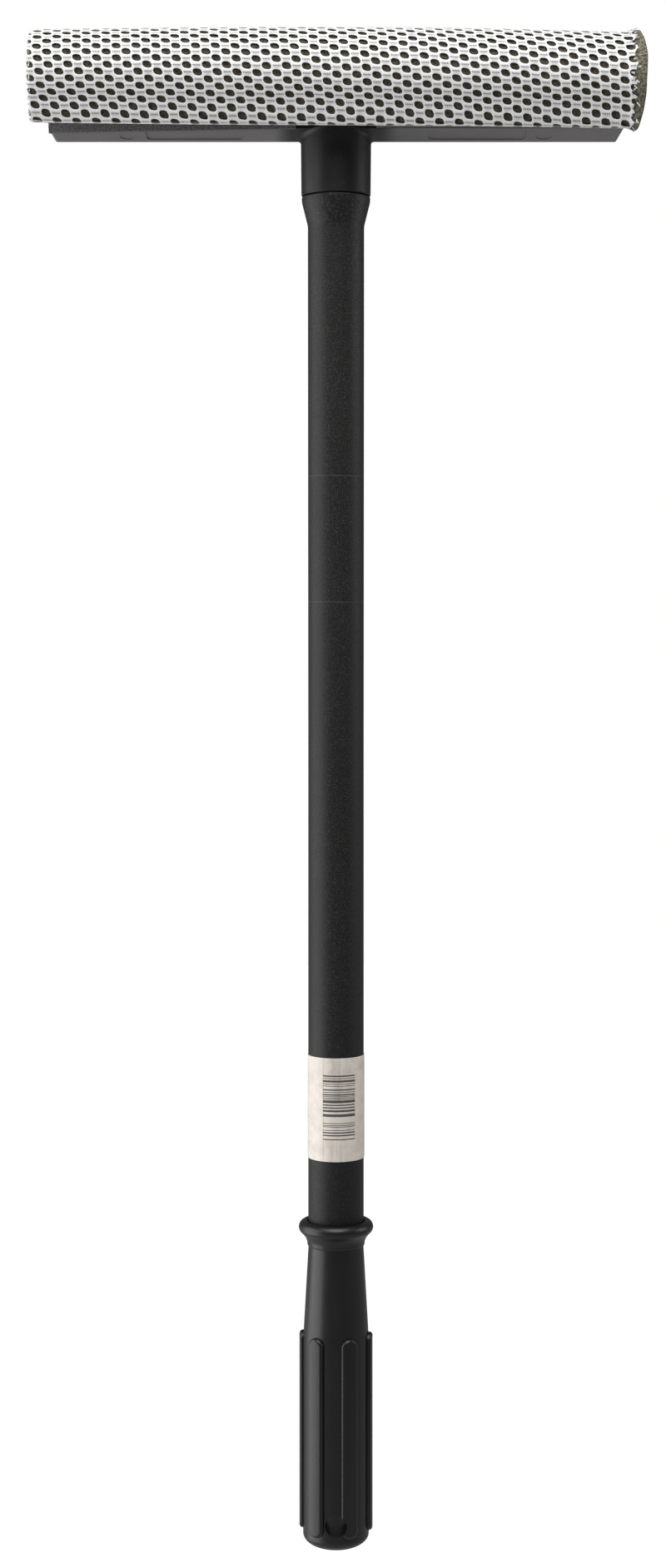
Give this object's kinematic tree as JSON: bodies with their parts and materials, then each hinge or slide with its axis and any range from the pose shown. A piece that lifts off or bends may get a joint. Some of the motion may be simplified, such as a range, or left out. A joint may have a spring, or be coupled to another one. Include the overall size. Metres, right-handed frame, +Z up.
{
  "type": "windshield washing squeegee",
  "caption": "Hand squeegee for car glass: net-covered sponge roll in front, rubber blade behind, on a long black tube handle with a ribbed grip.",
  "frame": {"origin": "middle of the small flat on the handle's butt end, on the handle's axis", "axes": "+Z up the handle to the head, -Y the way the sponge faces, +Y the way the blade faces, X along the head"},
  "size_m": [0.2385, 0.0643, 0.602],
  "materials": {
    "head_black": "fine spark-eroded black polypropylene, slightly satin",
    "rail_black": "coarser stippled black polypropylene",
    "tube_black": "stippled black polyethylene with a faint speckle",
    "grip_black": "satin black moulded plastic",
    "blade_rubber": "matt black natural rubber",
    "net_white": "white knitted nylon net",
    "foam_olive": "open-cell olive grey polyurethane foam",
    "label_paper": "cream paper label, slightly glossy",
    "screw_zinc": "zinc plated steel"
  },
  "bodies": {
    "squeegee": {"head_frame": "head_black", "sponge_rail": "rail_black", "rail_screw_1": "screw_zinc", "rail_screw_2": "screw_zinc", "rail_screw_3": "screw_zinc", "rail_screw_4": "screw_zinc", "sponge_foam": "foam_olive", "sponge_net": "net_white", "blade_root": "blade_rubber", "blade_rail": "rail_black", "blade_screw_1": "screw_zinc", "blade_screw_2": "screw_zinc", "blade_screw_3": "screw_zinc", "blade_screw_4": "screw_zinc", "blade_screw_5": "screw_zinc", "handle_tube": "tube_black", "grip": "grip_black", "barcode_label": "label_paper"},
    "wiper_lip": {"blade_lip": "blade_rubber"}
  },
  "joints": [
    {"name": "blade_flex", "type": "hinge", "parent": "squeegee", "child": "wiper_lip", "pos_m": [0, 0.01349, 0.58285], "axis": [1, 0, 0], "range_deg": [-35, 35], "stiffness_Nm_per_rad": 0.25}
  ]
}
